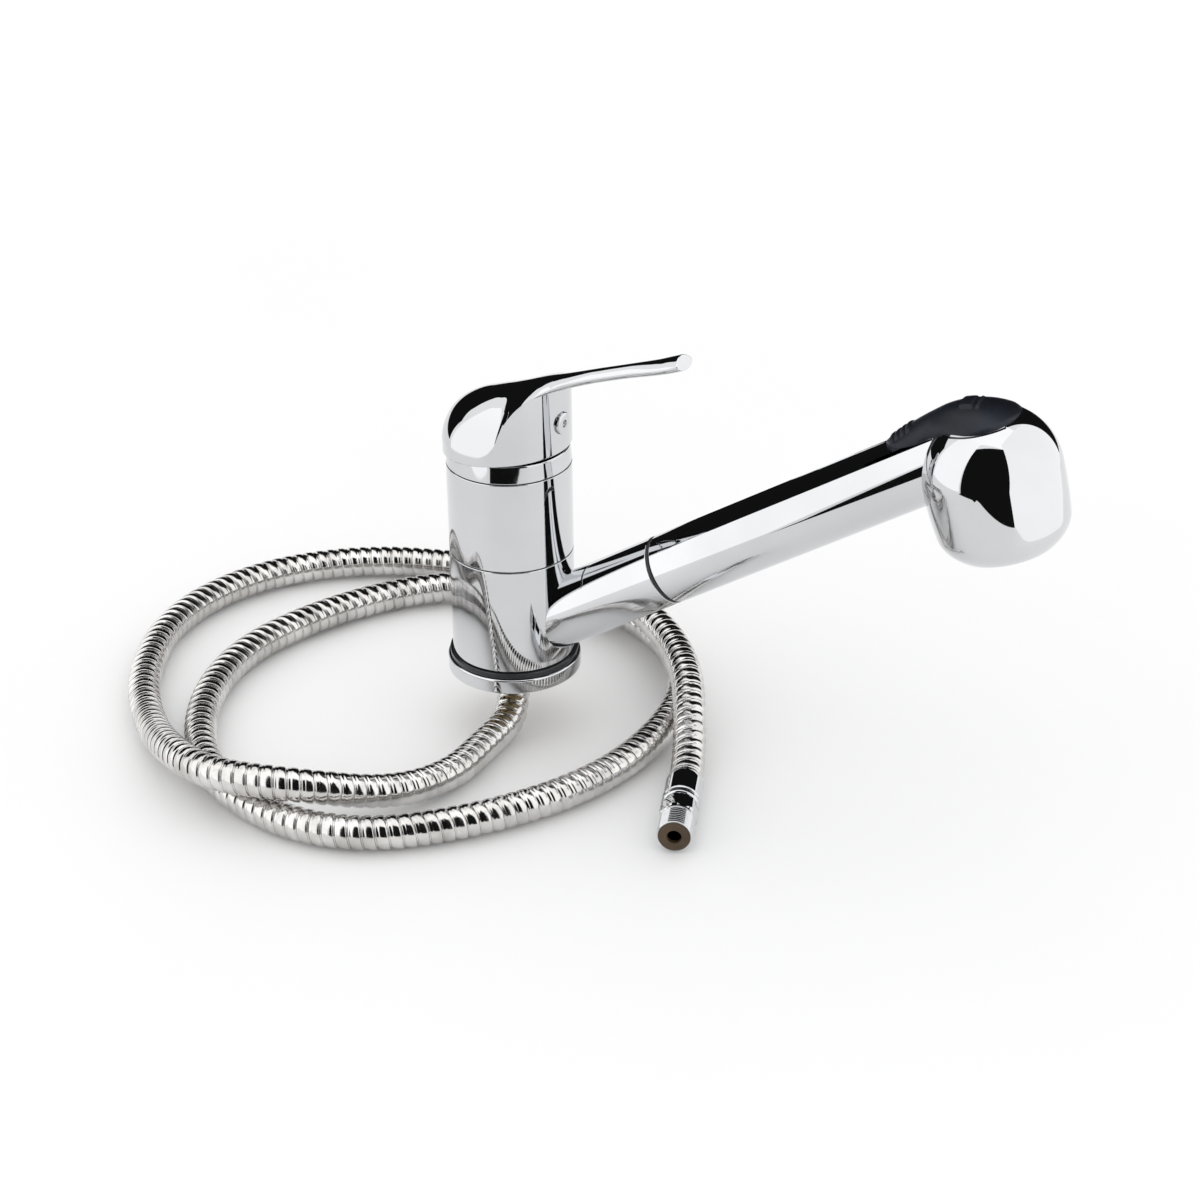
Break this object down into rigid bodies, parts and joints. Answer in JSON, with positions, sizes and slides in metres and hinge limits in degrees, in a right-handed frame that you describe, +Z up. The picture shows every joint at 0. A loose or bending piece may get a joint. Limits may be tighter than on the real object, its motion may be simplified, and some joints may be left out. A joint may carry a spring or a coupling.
{
  "type": "pull-out spray mixer tap",
  "caption": "Single-lever deck mixer tap in polished chrome with a pull-out spray handset on a wound metal hose, lying in loose loops.",
  "frame": {"origin": "centre of the base's underside, where it stands on the deck", "axes": "+Z up along the column, +X along the spout seen from above"},
  "size_m": [0.3992, 0.2324, 0.1794],
  "materials": {
    "chrome": "polished",
    "hose_steel": "polished wound strip",
    "steel": "satin",
    "brass": "as machined",
    "black_nylon": "fine",
    "black_face": "satin",
    "white_acetal": "smooth",
    "grey_plastic": "smooth",
    "soft_black": "soft touch",
    "black_rubber": "matte",
    "brown_rubber": "matte",
    "grey_silicone": "matte",
    "ceramic": "lapped ceramic"
  },
  "bodies": {
    "fixed": {"base_flange": "chrome", "base_gasket": "black_rubber", "slide_ring": "black_nylon", "core_body": "brass", "lower_bush": "white_acetal", "upper_bush": "white_acetal", "upper_sleeve": "chrome", "trim_collar": "chrome", "cartridge_housing": "grey_plastic", "cartridge_seals": "black_rubber", "fixed_disc": "ceramic", "cartridge_nut": "brass", "hose_free": "hose_steel", "hose_ferrule": "chrome", "hose_tail": "chrome", "hose_end_seal": "brown_rubber"},
    "swivel": {"swivel_spout": "chrome", "guide_bush": "black_nylon", "o_ring": "black_rubber", "hose_bend": "hose_steel"},
    "handset": {"handset_shell": "chrome", "hose_connector": "brass", "hose_washer": "black_rubber", "hose_stub": "hose_steel", "check_valve": "white_acetal", "waterway_tube": "grey_plastic", "diverter_body": "grey_plastic", "rocker_pin": "steel", "spray_face": "black_face", "nozzle_ring": "grey_silicone", "aerator": "chrome", "aerator_screen": "steel"},
    "rocker": {"rocker_frame": "black_nylon", "button_pad": "soft_black"},
    "spool": {"diverter_spool": "brass"},
    "carrier": {"turn_carrier": "grey_plastic", "lever_pin": "steel"},
    "disc": {"moving_disc": "ceramic", "disc_driver": "white_acetal"},
    "lever_body": {"lever": "chrome", "stem": "brass", "grub_screw": "steel", "screw_plug": "chrome"}
  },
  "joints": [
    {"name": "spout_swivel", "type": "hinge", "parent": "fixed", "child": "swivel", "pos_m": [0, 0, 0.03], "axis": [0, 0, 1], "range_deg": [-60, 60]},
    {"name": "handset_pull", "type": "slide", "parent": "swivel", "child": "handset", "axis": [0.8508, 0, 0.5255], "range_m": [0, 0.055]},
    {"name": "button_rock", "type": "hinge", "parent": "handset", "child": "rocker", "pos_m": [0.17755, 0, 0.13407], "axis": [0, 1, 0], "range_deg": [-2.4, 2.4], "stiffness_Nm_per_rad": 0.5},
    {"name": "spool_slide", "type": "slide", "parent": "handset", "child": "spool", "axis": [-0.5255, 0, 0.8508], "range_m": [-0.00048, 0.00048]},
    {"name": "lever_turn", "type": "hinge", "parent": "fixed", "child": "carrier", "pos_m": [0, 0, 0.086], "axis": [0, 0, 1], "range_deg": [-40, 40]},
    {"name": "lever_lift", "type": "hinge", "parent": "carrier", "child": "lever_body", "pos_m": [0, 0, 0.086], "axis": [-0.1392, -0.9903, 0], "range_deg": [0, 25]},
    {"name": "disc_slide", "type": "slide", "parent": "carrier", "child": "disc", "axis": [0.9903, -0.1392, 0], "range_m": [0, 0.0048]}
  ],
  "couplings": [
    {"joint": "button_rock", "follows": "spool_slide", "rad_per_m": -87},
    {"joint": "disc_slide", "follows": "lever_lift", "m_per_rad": 0.0107}
  ]
}
